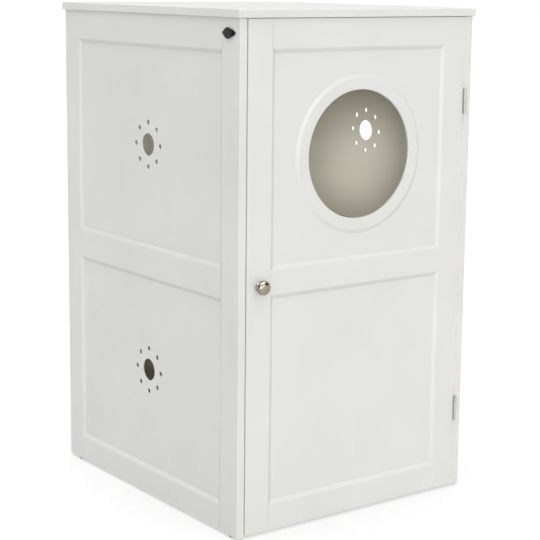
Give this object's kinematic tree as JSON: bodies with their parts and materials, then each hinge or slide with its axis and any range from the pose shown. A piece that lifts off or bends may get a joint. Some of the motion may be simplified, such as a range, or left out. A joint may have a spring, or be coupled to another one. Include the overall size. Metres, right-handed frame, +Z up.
{
  "type": "two-storey pet cabinet",
  "caption": "Tall white framed-panel cabinet with a side-hung door, a round way in, ring-shaped vents in both sides and an inner shelf with a passage.",
  "frame": {"origin": "on the floor, in the middle of the whole outline seen from above, knob, hanging peg and top board included", "axes": "+Z up; the front with the door faces -Y; +X is to the right seen from the front, on the hinge side"},
  "size_m": [0.525, 0.605, 0.9],
  "materials": {
    "white_lacquer": "satin white lacquer on fibreboard",
    "back_board": "thin hardboard, painted off-white",
    "hinge_steel": "satin steel",
    "screw_steel": "zinc-plated steel",
    "knob_nickel": "polished nickel",
    "magnet": "dark ferrite with plain pole faces",
    "black_plastic": "black moulded plastic, slightly glossy",
    "white_plastic": "white moulded plastic",
    "grey_plastic": "dark grey plastic",
    "beech": "raw beech"
  },
  "bodies": {
    "cabinet": {"back_panel": "back_board", "catch_housing": "white_plastic", "catch_left_screw": "screw_steel", "catch_magnet": "magnet", "catch_right_screw": "screw_steel", "floor_board": "white_lacquer", "hanging_peg": "black_plastic", "left_back_dowel": "beech", "left_back_glide": "grey_plastic", "left_back_stile": "white_lacquer", "left_bottom_rail": "white_lacquer", "left_front_dowel": "beech", "left_front_glide": "grey_plastic", "left_front_stile": "white_lacquer", "left_lower_panel": "white_lacquer", "left_mid_rail": "white_lacquer", "left_top_rail": "white_lacquer", "left_upper_panel": "white_lacquer", "lower_hinge_frame_leaf": "hinge_steel", "lower_hinge_frame_leaf_lower_screw": "screw_steel", "lower_hinge_frame_leaf_upper_screw": "screw_steel", "lower_hinge_pin": "hinge_steel", "middle_shelf": "white_lacquer", "peg_back_screw": "black_plastic", "peg_front_screw": "black_plastic", "right_back_dowel": "beech", "right_back_glide": "grey_plastic", "right_back_stile": "white_lacquer", "right_bottom_rail": "white_lacquer", "right_front_dowel": "beech", "right_front_glide": "grey_plastic", "right_front_stile": "white_lacquer", "right_lower_panel": "white_lacquer", "right_mid_rail": "white_lacquer", "right_top_rail": "white_lacquer", "right_upper_panel": "white_lacquer", "top_board": "white_lacquer", "upper_hinge_frame_leaf": "hinge_steel", "upper_hinge_frame_leaf_lower_screw": "screw_steel", "upper_hinge_frame_leaf_upper_screw": "screw_steel", "upper_hinge_pin": "hinge_steel"},
    "door": {"door_bottom_rail": "white_lacquer", "door_hinge_stile": "white_lacquer", "door_lock_stile": "white_lacquer", "door_lower_panel": "white_lacquer", "door_mid_rail": "white_lacquer", "door_top_rail": "white_lacquer", "door_upper_panel": "white_lacquer", "knob": "knob_nickel", "knob_screw": "screw_steel", "lower_hinge_door_leaf": "hinge_steel", "lower_hinge_door_leaf_lower_screw": "screw_steel", "lower_hinge_door_leaf_upper_screw": "screw_steel", "strike_plate": "screw_steel", "strike_screw": "screw_steel", "upper_hinge_door_leaf": "hinge_steel", "upper_hinge_door_leaf_lower_screw": "screw_steel", "upper_hinge_door_leaf_upper_screw": "screw_steel", "way_in_collar": "white_lacquer"}
  },
  "joints": [
    {"name": "door_hinge", "type": "hinge", "parent": "cabinet", "child": "door", "pos_m": [0.24235, -0.2845, 0.4435], "axis": [0, 0, 1], "range_deg": [0, 180]}
  ]
}
